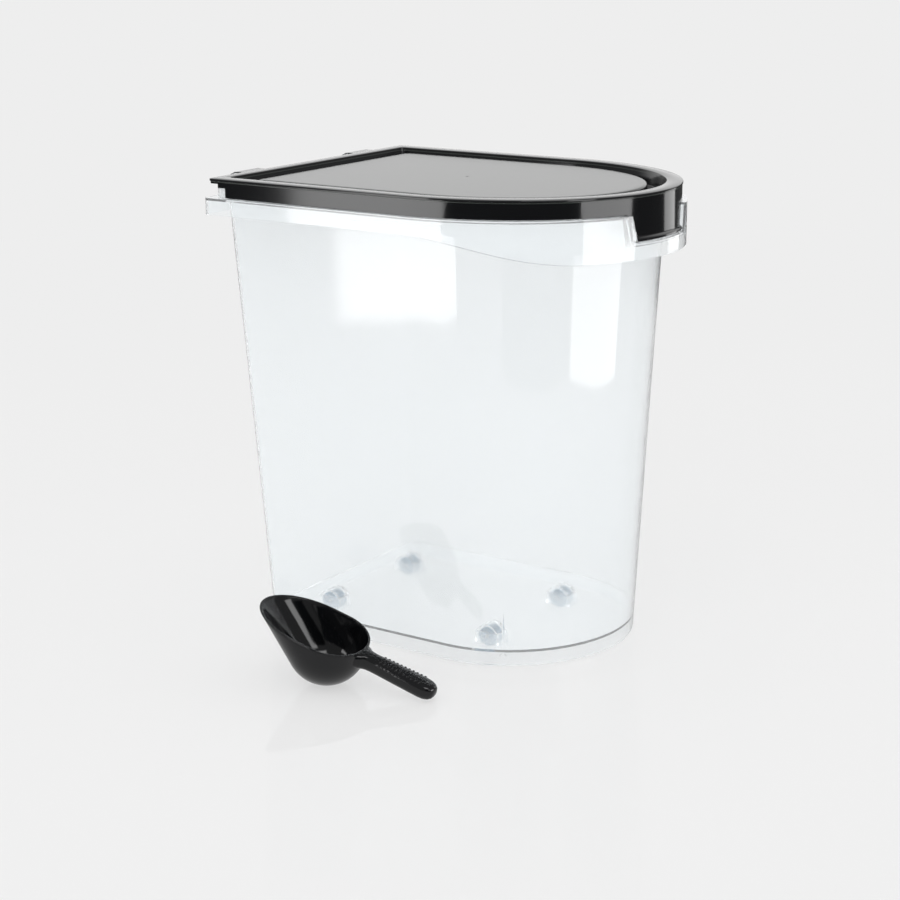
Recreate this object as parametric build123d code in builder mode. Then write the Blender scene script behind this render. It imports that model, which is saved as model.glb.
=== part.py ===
from build123d import *
import os
from math import asin, atan2, cos, degrees, hypot, pi, radians, sin, tan

os.makedirs("parts", exist_ok=True)

# A wheeled bin for dry pet food: a clear tapering tub with a D-shaped plan, a black lid hinged at its
# straight back, and a black scoop that stands beside it. X is the width, Y runs from the round nose (-Y)
# to the hinge (+Y), Z is up, and the origin is on the floor under the middle of the tub's base.
# All sizes are millimetres and degrees.

# Tub, measured round the ring it ends in
base_width = 239.0
base_length = 317.0
base_nose_depth = 113.0
base_corner = 20.0
wall_draft = 3.07
tub_wall = 2.2
tub_height = 412.5
floor_thick = 2.5
nose_arcs = 24
ring_depth = 12.5
ring_lift = 1.5

# Rim: the lid's outline stands out past the top of the tub by these
rim_side_overhang = 11.3
rim_back_overhang = 11.0
rim_nose_overhang = 19.0
rim_nose_depth = 175.0
rim_corner = 4.0
shelf_thick = 2.4

# Apron band that hangs outside the rim, deeper round the nose
apron_step = 4.0
apron_wall = 2.0
apron_corner = 7.0
apron_side_depth = 15.5
apron_nose_depth = 39.0
apron_sweep_start = 26.0
apron_sweep_length = 148.0

# Neck that the lid closes over
neck_wall = 2.2
neck_gap = 0.6
neck_back_inset = 4.6
neck_corner = 8.0

# Lid
skirt_height = 17.0
skirt_gap = 0.5
skirt_wall = 2.2
skirt_step = 0.6
skirt_back_setback = 19.5
flange_thick = 2.4
flange_width = 15.0
flange_back_width = 12.0
flange_back_lip = 4.5
gusset_length = 8.4
gusset_depth = 8.1
gusset_radius = 1.5
moat_width = 17.2
moat_back_width = 18.2
moat_depth = 14.0
moat_corner = 5.0
panel_corner = 5.0
lid_wall = 2.2
panel_drop = 2.7
panel_edge_chamfer = 1.6
gate_radius = 1.5
gate_depth = 0.6
gate_offset = 7.6

# Latch flap under the lid's nose, and the pocket for it in the apron
latch_top_width = 96.0
latch_bottom_width = 84.0
latch_depth = 24.0
latch_root_radius = 5.0
latch_tip_radius = 2.5
latch_lip_height = 3.6
latch_lip_reach = 2.6
latch_gap = 1.2

# Seal
seal_width = 4.4
seal_thick = 2.0
seal_gap = 0.3
seal_rib_wall = 1.4

# Hinge: two hooks of the lid clip over two bars of the tub
hinge_spacing = 174.0
hinge_setback = 7.5
hook_width = 34.0
hook_wall = 2.6
bar_radius = 2.5
bar_clearance = 0.08
hook_mouth = 4.2
ear_thick = 3.5
ear_gap = 0.6
ear_radius = 4.4
ear_foot_margin = 0.5

# Wheels and the wells they sit in
wheel_radius = 10.0
wheel_width = 10.0
wheel_spacing = 129.0
wheel_front = 60.0
wheel_back = 123.0
axle_radius = 1.5
axle_clearance = 0.08
axle_seat_gap = 0.03
axle_slot = 2.4
well_gap = 1.2
well_side_gap = 0.9
well_wall = 2.0
well_lift = 3.0

# Gate bead low on the tub's near shoulder
bead_angle = 208.5
bead_bite = 1.0
bead_width = 2.0
bead_height = 50.0
bead_proud = 0.8
bead_foot_width = 7.0
bead_foot_height = 11.0

# Scoop: bowl with a ball-shaped heel and a straight ramp to the lip, grip, and how it lies on the floor
bowl_radius = 36.7
bowl_back = 43.5
bowl_front = 64.0
bowl_depth = 50.2
bowl_wall = 2.2
heel_strips = 14
grip_length = 63.5
grip_width = 20.0
grip_neck_width = 14.5
grip_neck = 9.0
grip_neck_round = 14.0
grip_root = 9.0
grip_root_width = 30.0
grip_thick = 16.6
grip_drop = 0.6
grip_chamfer = 2.8
scoop_place = (-225.5, 13.1)
scoop_floor_gap = 0.15
scoop_turn = 99.5
scoop_roll = -5.5

# Levels above the floor
ring_z = ring_lift
floor_under_z = ring_z + ring_depth
floor_top_z = floor_under_z + floor_thick
shelf_z = ring_z + tub_height
skirt_z = shelf_z + skirt_gap
lid_top_z = skirt_z + skirt_height
flange_z = lid_top_z - flange_thick
neck_z = flange_z - seal_thick - seal_gap
latch_z = skirt_z - latch_depth
pocket_z = latch_z - latch_gap
moat_floor_z = lid_top_z - moat_depth
moat_under_z = moat_floor_z - lid_wall
panel_z = lid_top_z - panel_drop
apron_side_z = shelf_z - apron_side_depth
apron_nose_z = shelf_z - apron_nose_depth

# Outline sizes worked out from the ones above
top_growth = tub_height * tan(radians(wall_draft))
rim_half_width = base_width / 2 + top_growth + rim_side_overhang
rim_back = base_length / 2 + top_growth + rim_back_overhang
rim_nose = base_length / 2 + top_growth + rim_nose_overhang
seal_inset = skirt_step + skirt_wall
seal_back_inset = neck_back_inset - neck_gap
neck_inset = skirt_step + skirt_wall + neck_gap
moat_inset = flange_width + moat_width
moat_back_inset = flange_back_width + moat_back_width
hook_radius = bar_radius + bar_clearance + hook_wall
hinge_y = rim_back + hinge_setback
hinge_z = lid_top_z - hook_radius
ear_offset = hook_width / 2 + ear_gap
wheel_spots = {
    "front_left": (-wheel_spacing / 2, -wheel_front),
    "front_right": (wheel_spacing / 2, -wheel_front),
    "back_left": (-wheel_spacing / 2, wheel_back),
    "back_right": (wheel_spacing / 2, wheel_back),
}
well_radius = wheel_radius + well_gap
well_width = wheel_width + 2 * well_side_gap
past = 10.0  # how far a cutting shape runs past what it cuts


def d_outline(half_width, back, nose, nose_depth, corner, mode=Mode.ADD, arcs=1):
    """Plan outline: a straight back with rounded corners, straight sides and a half-ellipse nose.

    The nose may be drawn as several arcs end to end, so that a tapering wall has narrow panels.
    """
    start = nose_depth - nose
    with BuildLine() as edge:
        Line((half_width, start), (half_width, back - corner))
        CenterArc((half_width - corner, back - corner), corner, 0, 90)
        Line((half_width - corner, back), (corner - half_width, back))
        CenterArc((corner - half_width, back - corner), corner, 90, 90)
        Line((-half_width, back - corner), (-half_width, start))
        for first in range(arcs):
            turn = 180 / arcs
            EllipticalCenterArc((0, start), half_width, nose_depth, 180 + first * turn, arc_size=turn)
    make_face(edge.edges(), mode=mode)


def tub_outline(height, inset=0.0, mode=Mode.ADD):
    """The tub's outline at a height above its ring, drawn in by an inset."""
    grow = height * tan(radians(wall_draft)) - inset
    d_outline(
        base_width / 2 + grow,
        base_length / 2 + grow,
        base_length / 2 + grow,
        base_nose_depth + grow,
        base_corner - inset,
        mode,
        nose_arcs,
    )


def rim_outline(inset, corner, back_inset=None, mode=Mode.ADD):
    """The lid's outline, drawn in by an inset, which may differ along the back."""
    if back_inset is None:
        back_inset = inset
    d_outline(
        rim_half_width - inset,
        rim_back - back_inset,
        rim_nose - inset,
        rim_nose_depth - inset,
        corner,
        mode,
    )


def latch_outline(grow, top_z, bottom_z, mode=Mode.ADD):
    """Front view of the latch flap, grown by a clearance and run between two levels."""
    slope = (latch_top_width - latch_bottom_width) / 2 / latch_depth
    top_half = latch_top_width / 2 + grow + (top_z - skirt_z) * slope
    bottom_half = latch_bottom_width / 2 + grow + (bottom_z - latch_z) * slope
    with BuildLine() as edge:
        Polyline(
            (-bottom_half, bottom_z),
            (bottom_half, bottom_z),
            (top_half, top_z),
            (-top_half, top_z),
            close=True,
        )
    make_face(edge.edges(), mode=mode)


def well_outline(y, radius, bottom_z, mode=Mode.ADD):
    """Side view of a wheel well: a half-round roof over straight sides."""
    with BuildLine() as edge:
        CenterArc((y, wheel_radius), radius, 0, 180)
        Polyline(
            (y - radius, wheel_radius),
            (y - radius, bottom_z),
            (y + radius, bottom_z),
            (y + radius, wheel_radius),
        )
    make_face(edge.edges(), mode=mode)


# Walls of the latch pocket: a piece of ring behind the flap, with two returns and a ledge under it
with BuildPart() as pocket_walls:
    with BuildSketch(Plane.XY.offset(pocket_z - shelf_thick)):
        rim_outline(-apron_step, apron_corner)
        rim_outline(neck_inset + neck_wall, neck_corner, mode=Mode.SUBTRACT)
    extrude(amount=shelf_z - pocket_z + shelf_thick)
    with BuildSketch(Plane.XZ):
        latch_outline(latch_gap + apron_wall, shelf_z, pocket_z - shelf_thick)
    extrude(amount=rim_nose + past, mode=Mode.INTERSECT)

# Space of the latch pocket, open to the front and the top
with BuildPart() as pocket_space:
    with BuildSketch(Plane.XY.offset(pocket_z)):
        rim_outline(-apron_step - past, apron_corner)
        rim_outline(neck_inset, neck_corner, mode=Mode.SUBTRACT)
    extrude(amount=shelf_z - pocket_z)
    with BuildSketch(Plane.XZ) as pocket_front:
        latch_outline(latch_gap, shelf_z, pocket_z)
        with Locations((0, shelf_z + past / 2)):
            Rectangle(2 * (latch_top_width + past), past)
        pocket_corners = pocket_front.vertices().group_by(Axis.Y)[1].sort_by(Axis.X)[1:3]
        fillet(pocket_corners, latch_root_radius - latch_gap)
    extrude(amount=rim_nose + 2 * past, mode=Mode.INTERSECT)

# Thin upright bead on the near shoulder of the tub, with a wider foot on the ring
bead_base = Plane(
    (
        base_width / 2 * cos(radians(bead_angle)),
        base_nose_depth - base_length / 2 + base_nose_depth * sin(radians(bead_angle)),
        ring_z,
    ),
    x_dir=(base_width * sin(radians(bead_angle)), -base_nose_depth * 2 * cos(radians(bead_angle)), 0),
)
with BuildPart() as gate_bead:
    with BuildSketch(bead_base):
        Rectangle(bead_foot_width, 2 * past)
    extrude(amount=bead_foot_height)
    with BuildSketch(bead_base):
        Rectangle(bead_width, 2 * past)
    extrude(amount=bead_height)
    with BuildSketch(Plane.XY.offset(ring_z)):
        tub_outline(0, -bead_proud)
    with BuildSketch(Plane.XY.offset(ring_z + bead_height)):
        tub_outline(bead_height, -bead_proud)
    loft(mode=Mode.INTERSECT)
    with BuildSketch(Plane.XY.offset(ring_z)):
        tub_outline(0, bead_bite)
    with BuildSketch(Plane.XY.offset(ring_z + bead_height)):
        tub_outline(bead_height, bead_bite)
    loft(mode=Mode.SUBTRACT)

# Clear tub, one moulding: apron band, shelf, neck, tapering wall, floor above a ring, wheel wells, hinge bars
with BuildPart() as bin_body:
    # Apron band, cut along its lower edge by a side view that sweeps down to the nose
    with BuildSketch(Plane.XY.offset(apron_nose_z - past)):
        rim_outline(-apron_step, apron_corner)
        rim_outline(apron_wall - apron_step, apron_corner - apron_wall, mode=Mode.SUBTRACT)
    extrude(amount=shelf_z - apron_nose_z + past)
    sweep_start = -apron_sweep_start
    sweep_end = -apron_sweep_start - apron_sweep_length
    with BuildSketch(Plane.YZ):
        with BuildLine():
            Polyline(
                (sweep_start, apron_side_z),
                (rim_back + 2 * past, apron_side_z),
                (rim_back + 2 * past, apron_nose_z - 2 * past),
                (-rim_nose - 2 * past, apron_nose_z - 2 * past),
                (-rim_nose - 2 * past, apron_nose_z),
                (sweep_end, apron_nose_z),
            )
            Spline(
                (sweep_end, apron_nose_z),
                (sweep_start, apron_side_z),
                tangents=((1, 0), (1, 0)),
            )
        make_face()
    extrude(amount=rim_half_width + past, both=True, mode=Mode.SUBTRACT)
    # Shelf under the neck, and the neck
    with BuildSketch(Plane.XY.offset(shelf_z - shelf_thick)):
        rim_outline(-apron_step, apron_corner)
    extrude(amount=shelf_thick)
    with BuildSketch(Plane.XY.offset(shelf_z)):
        rim_outline(neck_inset, neck_corner, neck_back_inset)
        rim_outline(
            neck_inset + neck_wall,
            neck_corner - neck_wall,
            neck_back_inset + neck_wall,
            mode=Mode.SUBTRACT,
        )
    extrude(amount=neck_z - shelf_z)
    add(pocket_walls.part)
    add(pocket_space.part, mode=Mode.SUBTRACT)
    # Tapering wall
    with BuildSketch(Plane.XY.offset(ring_z)):
        tub_outline(0)
    with BuildSketch(Plane.XY.offset(shelf_z)):
        tub_outline(tub_height)
    loft()
    with BuildSketch(Plane.XY.offset(floor_top_z)):
        tub_outline(floor_top_z - ring_z, tub_wall)
    with BuildSketch(Plane.XY.offset(shelf_z)):
        tub_outline(tub_height, tub_wall)
    loft(mode=Mode.SUBTRACT)
    with BuildSketch(Plane.XY.offset(ring_z)):
        tub_outline(0, tub_wall)
    with BuildSketch(Plane.XY.offset(floor_under_z)):
        tub_outline(ring_depth, tub_wall)
    loft(mode=Mode.SUBTRACT)
    # Wheel wells: a half-round roof over a box below the floor, with a slot for the axle in each cheek
    for x, y in wheel_spots.values():
        with BuildSketch(Plane.YZ.offset(x - well_width / 2 - well_wall)):
            well_outline(y, well_radius + well_wall, well_lift)
        extrude(amount=well_width + 2 * well_wall)
        with BuildSketch(Plane.YZ.offset(x - well_width / 2)):
            well_outline(y, well_radius, 0)
        extrude(amount=well_width, mode=Mode.SUBTRACT)
        with BuildSketch(Plane.YZ.offset(x - well_width / 2 - well_wall)):
            with Locations((y, wheel_radius)):
                Circle(axle_radius + axle_seat_gap)
            with Locations((y, wheel_radius / 2)):
                Rectangle(axle_slot, wheel_radius)
        extrude(amount=well_width + 2 * well_wall, mode=Mode.SUBTRACT)
    # Hinge ears on the shelf, with a bar between each pair
    for hinge_x in (-hinge_spacing / 2, hinge_spacing / 2):
        for side_x in (hinge_x - ear_offset - ear_thick, hinge_x + ear_offset):
            with BuildSketch(Plane.YZ.offset(side_x)):
                with Locations((hinge_y, hinge_z)):
                    Circle(ear_radius)
                with Locations((rim_back + (apron_step - neck_back_inset) / 2, shelf_z)):
                    Rectangle(apron_step + neck_back_inset - 2 * ear_foot_margin, shelf_thick)
                make_hull()
            extrude(amount=ear_thick)
        with BuildSketch(Plane.YZ.offset(hinge_x - ear_offset)):
            with Locations((hinge_y, hinge_z)):
                Circle(bar_radius)
        extrude(amount=2 * ear_offset)
    add(gate_bead.part)
bin_body.part.label = "bin_body"
export_step(bin_body.part, "parts/bin_body.step")

# Lip along the foot of the latch flap, for a finger
with BuildPart() as latch_lip:
    with BuildSketch(Plane.XY.offset(latch_z)):
        rim_outline(skirt_step - latch_lip_reach, rim_corner)
        rim_outline(skirt_step + skirt_wall, rim_corner, mode=Mode.SUBTRACT)
    extrude(amount=latch_lip_height)
    with BuildSketch(Plane.XZ) as lip_view:
        latch_outline(0, latch_z + latch_lip_height, latch_z)
        fillet(lip_view.vertices().group_by(Axis.Y)[0], latch_tip_radius)
    extrude(amount=rim_nose + past, mode=Mode.INTERSECT)

# Raised panel in the middle of the lid, with its top edge taken off
with BuildPart() as lid_panel:
    with BuildSketch(Plane.XY.offset(moat_floor_z)):
        rim_outline(moat_inset, panel_corner, moat_back_inset)
    extrude(amount=panel_z - moat_floor_z)
    chamfer(lid_panel.faces().sort_by(Axis.Z)[-1].edges(), panel_edge_chamfer)

# Black lid, one moulding: skirt with the latch flap, flange, moat, raised panel, hinge hooks
with BuildPart() as lid:
    # Skirt, cut away beside the flap and round the back
    with BuildSketch(Plane.XY.offset(latch_z)):
        rim_outline(skirt_step, rim_corner)
        rim_outline(skirt_step + skirt_wall, rim_corner, mode=Mode.SUBTRACT)
    extrude(amount=lid_top_z - latch_z)
    with BuildSketch(Plane.XZ) as beside_flap:
        with Locations((0, (skirt_z + latch_z - past) / 2)):
            Rectangle(2 * (rim_half_width + past), latch_depth + past)
        latch_outline(0, skirt_z, latch_z, mode=Mode.SUBTRACT)
        flap_corners = beside_flap.vertices().filter_by_position(Axis.X, -latch_top_width, latch_top_width)
        fillet(flap_corners.group_by(Axis.Y)[0], latch_tip_radius)
        root_corners = beside_flap.vertices().filter_by_position(Axis.X, -latch_top_width, latch_top_width)
        fillet(root_corners.group_by(Axis.Y)[-1], latch_root_radius)
    extrude(amount=rim_nose + past, both=True, mode=Mode.SUBTRACT)
    skirt_end = rim_back - skirt_back_setback
    with BuildSketch(Plane.YZ) as behind_skirt:
        with BuildLine():
            Polyline(
                (skirt_end, latch_z - past),
                (skirt_end, lid_top_z - gusset_depth),
                (skirt_end + gusset_length, lid_top_z - gusset_depth),
                (skirt_end + gusset_length, lid_top_z - flange_back_lip),
                (rim_back + past, lid_top_z - flange_back_lip),
                (rim_back + past, latch_z - past),
                close=True,
            )
        make_face()
        gusset_corners = behind_skirt.vertices().filter_by_position(Axis.Y, skirt_z, lid_top_z)
        fillet(gusset_corners.sort_by(Axis.X)[:-1], gusset_radius)
    extrude(amount=rim_half_width + past, both=True, mode=Mode.SUBTRACT)
    add(latch_lip.part)
    # Flange and the tray that makes the moat and the panel
    with BuildSketch(Plane.XY.offset(flange_z)):
        rim_outline(0, rim_corner)
    extrude(amount=flange_thick)
    with BuildSketch(Plane.XY.offset(moat_under_z)):
        rim_outline(flange_width - lid_wall, moat_corner + lid_wall, flange_back_width - lid_wall)
    extrude(amount=lid_top_z - moat_under_z)
    with BuildSketch(Plane.XY.offset(moat_floor_z)):
        rim_outline(flange_width, moat_corner, flange_back_width)
    extrude(amount=moat_depth, mode=Mode.SUBTRACT)
    add(lid_panel.part)
    with BuildSketch(Plane.XY.offset(moat_under_z)):
        rim_outline(moat_inset + lid_wall, panel_corner, moat_back_inset + lid_wall)
    extrude(amount=panel_z - lid_wall - moat_under_z, mode=Mode.SUBTRACT)
    # Rib that holds the seal in, and the dimple left at the centre of the panel
    with BuildSketch(Plane.XY.offset(flange_z - seal_thick)):
        rim_outline(seal_inset + seal_width, neck_corner, seal_back_inset + seal_width)
        rim_outline(
            seal_inset + seal_width + seal_rib_wall,
            neck_corner,
            seal_back_inset + seal_width + seal_rib_wall,
            mode=Mode.SUBTRACT,
        )
    extrude(amount=seal_thick)
    with Locations((0, gate_offset, panel_z)):
        Hole(gate_radius, gate_depth)
    # Hinge hooks
    for hinge_x in (-hinge_spacing / 2, hinge_spacing / 2):
        with BuildSketch(Plane.YZ.offset(hinge_x - hook_width / 2)):
            with Locations((hinge_y, hinge_z)):
                Circle(hook_radius)
            with Locations(((rim_back + hinge_y - lid_wall) / 2, lid_top_z - flange_thick / 2)):
                Rectangle(hinge_y - rim_back + lid_wall, flange_thick)
            with Locations((hinge_y, hinge_z)):
                Circle(bar_radius + bar_clearance, mode=Mode.SUBTRACT)
            with Locations((hinge_y, hinge_z - hook_radius / 2)):
                Rectangle(hook_mouth, hook_radius, mode=Mode.SUBTRACT)
        extrude(amount=hook_width)
lid.part.label = "lid"
export_step(lid.part, "parts/lid.step")

# Soft seal ring under the flange, just above the neck
with BuildPart() as lid_seal:
    with BuildSketch(Plane.XY.offset(flange_z - seal_thick)):
        rim_outline(seal_inset, neck_corner, seal_back_inset)
        rim_outline(seal_inset + seal_width, neck_corner, seal_back_inset + seal_width, mode=Mode.SUBTRACT)
    extrude(amount=seal_thick)
lid_seal.part.label = "lid_seal"
export_step(lid_seal.part, "parts/lid_seal.step")

# Wheels and their axle pins
for spot, (x, y) in wheel_spots.items():
    with BuildPart() as wheel:
        with BuildSketch(Plane.YZ.offset(x - wheel_width / 2)):
            with Locations((y, wheel_radius)):
                Circle(wheel_radius)
        extrude(amount=wheel_width)
        with BuildSketch(Plane.YZ.offset(x - wheel_width / 2)):
            with Locations((y, wheel_radius)):
                Circle(axle_radius + axle_clearance)
        extrude(amount=wheel_width, mode=Mode.SUBTRACT)
    wheel.part.label = "wheel_" + spot
    export_step(wheel.part, "parts/wheel_" + spot + ".step")
    with BuildPart() as axle:
        with BuildSketch(Plane.YZ.offset(x - well_width / 2 - well_wall)):
            with Locations((y, wheel_radius)):
                Circle(axle_radius)
        extrude(amount=well_width + 2 * well_wall)
    axle.part.label = "axle_" + spot
    export_step(axle.part, "parts/axle_" + spot + ".step")

# How the scoop lies: both the ball of its heel and the end of its grip come down to the floor
heel_x = bowl_radius - bowl_back
heel_z = bowl_radius - bowl_depth
grip_end = -bowl_back - grip_length
end_x = grip_end - grip_width / 2 + grip_chamfer
end_z = -grip_drop - grip_thick
rest_span = hypot(heel_x - end_x, heel_z - end_z)
rest_slope = atan2(heel_z - end_z, heel_x - end_x)
scoop_nose_up = degrees(asin(bowl_radius / rest_span) - rest_slope)
scoop_forward = Vector(1, 0, 0).rotate(Axis.Y, -scoop_nose_up).rotate(Axis.Z, scoop_turn)
scoop_rolled = Vector(0, 0, 1).rotate(Axis.X, scoop_roll)
scoop_up = scoop_rolled.rotate(Axis.Y, -scoop_nose_up).rotate(Axis.Z, scoop_turn)
scoop_z = bowl_radius + scoop_floor_gap - heel_x * scoop_forward.Z - heel_z * scoop_up.Z
scoop_frame = Plane((*scoop_place, scoop_z), x_dir=scoop_forward, z_dir=scoop_up)
scoop_side = Plane(scoop_frame.origin, x_dir=scoop_frame.x_dir, z_dir=-scoop_frame.y_dir)

# The ramp leaves the ball of the heel in line with it and rises to the lip
lip_reach = hypot(bowl_front - heel_x, heel_z)
ramp_angle = atan2(-heel_z, bowl_front - heel_x) + asin(bowl_radius / lip_reach)
ramp_along = scoop_frame.x_dir * cos(ramp_angle) + scoop_frame.z_dir * sin(ramp_angle)
heel_centre = scoop_frame.from_local_coords((heel_x, 0, heel_z))
heel_plane = Plane(heel_centre, x_dir=scoop_frame.x_dir, z_dir=scoop_frame.z_dir)
ramp_plane = Plane(heel_centre, x_dir=scoop_frame.y_dir, z_dir=ramp_along)


def heel_ball(radius):
    """A ball at the origin: what is common to round bars through it, so that its skin is round strips."""
    bar_reach = radius + past
    with BuildPart() as ball:
        for strip in range(heel_strips + 1):
            bar_angle = ramp_angle - (ramp_angle + pi / 2) * strip / heel_strips
            bar_along = Vector(cos(bar_angle), 0, sin(bar_angle))
            with BuildSketch(Plane(bar_along * -bar_reach, x_dir=(0, 1, 0), z_dir=bar_along)):
                Circle(radius)
            extrude(amount=2 * bar_reach, mode=Mode.INTERSECT if strip else Mode.ADD)
    return ball.part


def bowl_form(inset):
    """The bowl as a solid, drawn in by an inset: a ball, a round ramp, and upright walls to the rim."""
    radius = bowl_radius - inset
    with BuildPart() as form:
        with Locations(heel_plane):
            add(heel_ball(radius))
        with BuildSketch(ramp_plane):
            Circle(radius)
        extrude(amount=lip_reach + radius)
        with BuildSketch(heel_plane):
            Circle(radius)
        extrude(amount=-heel_z)
        with BuildSketch(scoop_side):
            with BuildLine():
                Polyline((heel_x, heel_z), (heel_x, 0), (heel_x - heel_z / tan(ramp_angle), 0), close=True)
            make_face()
        extrude(amount=radius, both=True)
        split(bisect_by=scoop_frame, keep=Keep.BOTTOM)
    return form.part


bowl_outside = bowl_form(0)
bowl_inside = bowl_form(bowl_wall)

# Grip: narrow where it leaves the bowl, wider towards its round end, with a flared root under the rim
with BuildPart() as scoop_grip:
    with BuildSketch(scoop_frame.offset(-grip_drop)) as grip_plan:
        with BuildLine():
            neck_x = -bowl_back - grip_neck
            root_x = grip_root - bowl_back
            Polyline(
                (grip_end, grip_width / 2),
                (neck_x, grip_neck_width / 2),
                (root_x, grip_root_width / 2),
                (root_x, -grip_root_width / 2),
                (neck_x, -grip_neck_width / 2),
                (grip_end, -grip_width / 2),
            )
            CenterArc((grip_end, 0), grip_width / 2, 90, 180)
        make_face()
        grip_necks = grip_plan.vertices().filter_by(lambda corner: abs(corner.X - neck_x) < bowl_wall)
        fillet(grip_necks, grip_neck_round)
    extrude(amount=-grip_thick)
    chamfer(scoop_grip.faces().filter_by(scoop_frame).edges(), grip_chamfer)

with BuildPart() as scoop:
    add(bowl_outside)
    add(scoop_grip.part)
    add(bowl_inside, mode=Mode.SUBTRACT)
scoop.part.label = "scoop"
export_step(scoop.part, "parts/scoop.step")
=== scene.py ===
from math import asin, atan2, cos, hypot, pi, radians, sin, sqrt, tan

import bmesh
import bpy
from mathutils import Matrix, Vector


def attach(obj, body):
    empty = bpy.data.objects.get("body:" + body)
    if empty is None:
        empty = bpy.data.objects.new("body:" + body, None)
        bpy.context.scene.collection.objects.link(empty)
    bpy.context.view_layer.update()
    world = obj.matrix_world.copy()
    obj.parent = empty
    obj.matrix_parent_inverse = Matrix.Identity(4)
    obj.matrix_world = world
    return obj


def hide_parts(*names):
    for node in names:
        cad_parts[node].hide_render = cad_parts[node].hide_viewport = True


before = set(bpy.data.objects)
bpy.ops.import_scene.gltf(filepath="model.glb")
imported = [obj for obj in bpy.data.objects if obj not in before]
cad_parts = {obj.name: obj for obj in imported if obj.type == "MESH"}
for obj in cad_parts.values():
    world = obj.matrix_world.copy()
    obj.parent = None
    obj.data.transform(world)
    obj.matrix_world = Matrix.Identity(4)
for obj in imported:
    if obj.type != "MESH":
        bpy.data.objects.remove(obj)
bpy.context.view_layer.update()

bpy.ops.object.select_all(action="DESELECT")

# Camera: a long lens a little above the lid, looking across the near side of the bin to its round nose.
camera_spot = (-1.5611, -1.0235, 0.6744)
camera_heading = radians(-56.02)
camera_rise = radians(90 - 15.21)
camera_roll = radians(-0.31)
camera_data = bpy.data.cameras.new("camera")
camera_data.lens = 80.6
camera_data.sensor_width = 36
camera_data.clip_end = 200
camera = bpy.data.objects.new("camera", camera_data)
bpy.context.scene.collection.objects.link(camera)
camera_turn = Matrix.Rotation(camera_heading, 4, "Z") @ Matrix.Rotation(camera_rise, 4, "X")
camera.matrix_world = Matrix.Translation(camera_spot) @ camera_turn @ Matrix.Rotation(camera_roll, 4, "Z")
bpy.context.scene.camera = camera
bpy.context.scene.view_settings.view_transform = "Standard"


def linear(hex_colour):
    """A colour written as sRGB hex, turned to linear red, green, blue and alpha."""
    shares = [int(hex_colour[start:start + 2], 16) / 255 for start in (1, 3, 5)]
    return [s / 12.92 if s <= 0.04045 else ((s + 0.055) / 1.055) ** 2.4 for s in shares] + [1.0]


def put(tree, kind, settings=None, inputs=None):
    """Adds a node with its settings, and gives each named input a value or a link from another node."""
    node = tree.nodes.new("ShaderNode" + kind)
    for name, value in (settings or {}).items():
        setattr(node, name, value)
    for name, value in (inputs or {}).items():
        if isinstance(value, bpy.types.NodeSocket):
            tree.links.new(value, node.inputs[name])
        else:
            node.inputs[name].default_value = value
    return node


def new_tree(name):
    """An empty material of that name, with its node tree."""
    material = bpy.data.materials.new(name)
    material.use_nodes = True
    material.node_tree.nodes.clear()
    return material, material.node_tree


# Floor: a plain pale acrylic sheet that runs out to the backdrop. It renders as flat pale grey, keeps a soft
# shadow near the object, and has a faint mirror sheen there. Gloss sees it dimmer, and dark further out.
backdrop_grey = "#EEEEEE"
floor_size = 120.0
shadow_share = 0.3
shadow_full_reach = 1.0
shadow_end_reach = 2.5
sheen_share = 0.045
sheen_full_reach = 0.35
sheen_end_reach = 0.72
near_glow_in_gloss = 0.7
far_glow_in_gloss = 0.1
near_glow_reach = 1.3
far_glow_reach = 1.8
smooth_step = {"interpolation_type": "SMOOTHSTEP"}


def mirror_ray(tree):
    """1 for a ray that an opaque gloss throws back, and 0 for one that comes out of clear plastic."""
    path = put(tree, "LightPath")
    thrown = put(tree, "Math", {"operation": "SUBTRACT", "use_clamp": True}, {
        0: path.outputs["Is Glossy Ray"], 1: path.outputs["Is Transmission Ray"]})
    early = put(tree, "Math", {"operation": "LESS_THAN"}, {0: path.outputs["Ray Depth"], 1: 2.5})
    both = put(tree, "Math", {"operation": "MULTIPLY"}, {0: thrown.outputs[0], 1: early.outputs[0]})
    return both.outputs[0]


bpy.ops.mesh.primitive_plane_add(size=floor_size)
floor = bpy.context.object
floor.name = "floor"
floor_paint, tree = new_tree("floor_paint")
grey = linear(backdrop_grey)
plain = put(tree, "Emission", None, {"Color": grey, "Strength": 1.0})
matt = put(tree, "BsdfDiffuse", None, {"Color": grey})
gloss = put(tree, "BsdfGlossy", None, {"Color": (1, 1, 1, 1), "Roughness": 0.03})
place = put(tree, "TexCoord")
reach = put(tree, "VectorMath", {"operation": "LENGTH"}, {0: place.outputs["Object"]})
shadow = put(tree, "MapRange", smooth_step, {
    "Value": reach.outputs["Value"], "From Min": shadow_end_reach, "From Max": shadow_full_reach,
    "To Max": shadow_share})
paint = put(tree, "MixShader", None, {0: shadow.outputs[0], 1: plain.outputs[0], 2: matt.outputs[0]})
sheen = put(tree, "MapRange", smooth_step, {
    "Value": reach.outputs["Value"], "From Min": sheen_end_reach, "From Max": sheen_full_reach,
    "To Max": sheen_share})
seen = put(tree, "MixShader", None, {0: sheen.outputs[0], 1: paint.outputs[0], 2: gloss.outputs[0]})
glow = put(tree, "MapRange", smooth_step, {
    "Value": reach.outputs["Value"], "From Min": near_glow_reach, "From Max": far_glow_reach,
    "To Min": near_glow_in_gloss, "To Max": far_glow_in_gloss})
mirrored = put(tree, "Emission", None, {"Color": grey, "Strength": glow.outputs[0]})
surface = put(tree, "MixShader", None, {0: mirror_ray(tree), 1: seen.outputs[0], 2: mirrored.outputs[0]})
put(tree, "OutputMaterial", None, {"Surface": surface.outputs[0]})
floor.data.materials.append(floor_paint)

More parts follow.
